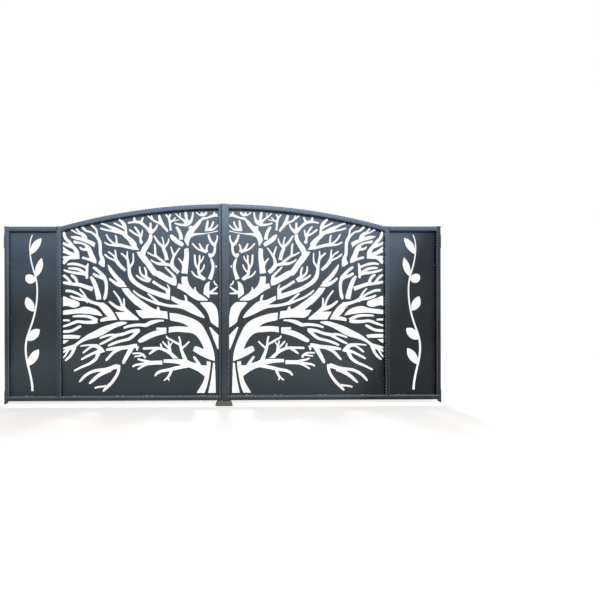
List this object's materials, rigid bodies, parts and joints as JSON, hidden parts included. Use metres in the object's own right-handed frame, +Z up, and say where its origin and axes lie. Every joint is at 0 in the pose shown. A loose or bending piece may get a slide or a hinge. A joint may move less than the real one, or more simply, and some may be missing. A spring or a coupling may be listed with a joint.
{
  "type": "double-leaf driveway gate",
  "caption": "Two hinged driveway gate leaves with an arched top rail, square tube frames and sheets with tree and vine cut-outs, that close a drive between pillars.",
  "frame": {"origin": "middle of the wall side of the right lower hinge plate, which bolts to a pillar", "axes": "+X to the right along the gate seen from the street, +Y away from the street, +Z up"},
  "size_m": [4.05, 0.107, 1.845],
  "materials": {
    "frame_paint": "satin",
    "sheet_paint": "satin",
    "hinge_black": "satin",
    "floor_stop": "matte"
  },
  "bodies": {
    "hinge_mounts": {"left_lower_hinge_plate": "hinge_black", "left_lower_hinge_pin": "hinge_black", "left_upper_hinge_plate": "hinge_black", "left_upper_hinge_pin": "hinge_black", "right_lower_hinge_plate": "hinge_black", "right_lower_hinge_pin": "hinge_black", "right_upper_hinge_plate": "hinge_black", "right_upper_hinge_pin": "hinge_black", "floor_stop": "floor_stop"},
    "left_leaf": {"left_hinge_stile": "frame_paint", "left_middle_stile": "frame_paint", "left_meeting_stile": "frame_paint", "left_bottom_rail": "frame_paint", "left_shoulder_rail": "frame_paint", "left_arch_rail": "frame_paint", "left_end_caps": "frame_paint", "left_vine_sheet": "sheet_paint", "left_tree_sheet": "sheet_paint", "left_lower_hinge_eye": "hinge_black", "left_upper_hinge_eye": "hinge_black"},
    "right_leaf": {"right_hinge_stile": "frame_paint", "right_middle_stile": "frame_paint", "right_meeting_stile": "frame_paint", "right_bottom_rail": "frame_paint", "right_shoulder_rail": "frame_paint", "right_arch_rail": "frame_paint", "right_end_caps": "frame_paint", "right_vine_sheet": "sheet_paint", "right_tree_sheet": "sheet_paint", "right_lower_hinge_eye": "hinge_black", "right_upper_hinge_eye": "hinge_black", "cover_strip": "frame_paint"}
  },
  "joints": [
    {"name": "left_swing", "type": "hinge", "parent": "hinge_mounts", "child": "left_leaf", "pos_m": [-4.022, 0, -0.0087], "axis": [0, 0, 1], "range_deg": [0, 90]},
    {"name": "right_swing", "type": "hinge", "parent": "hinge_mounts", "child": "right_leaf", "pos_m": [-0.028, 0, -0.0087], "axis": [0, 0, -1], "range_deg": [0, 90]}
  ]
}
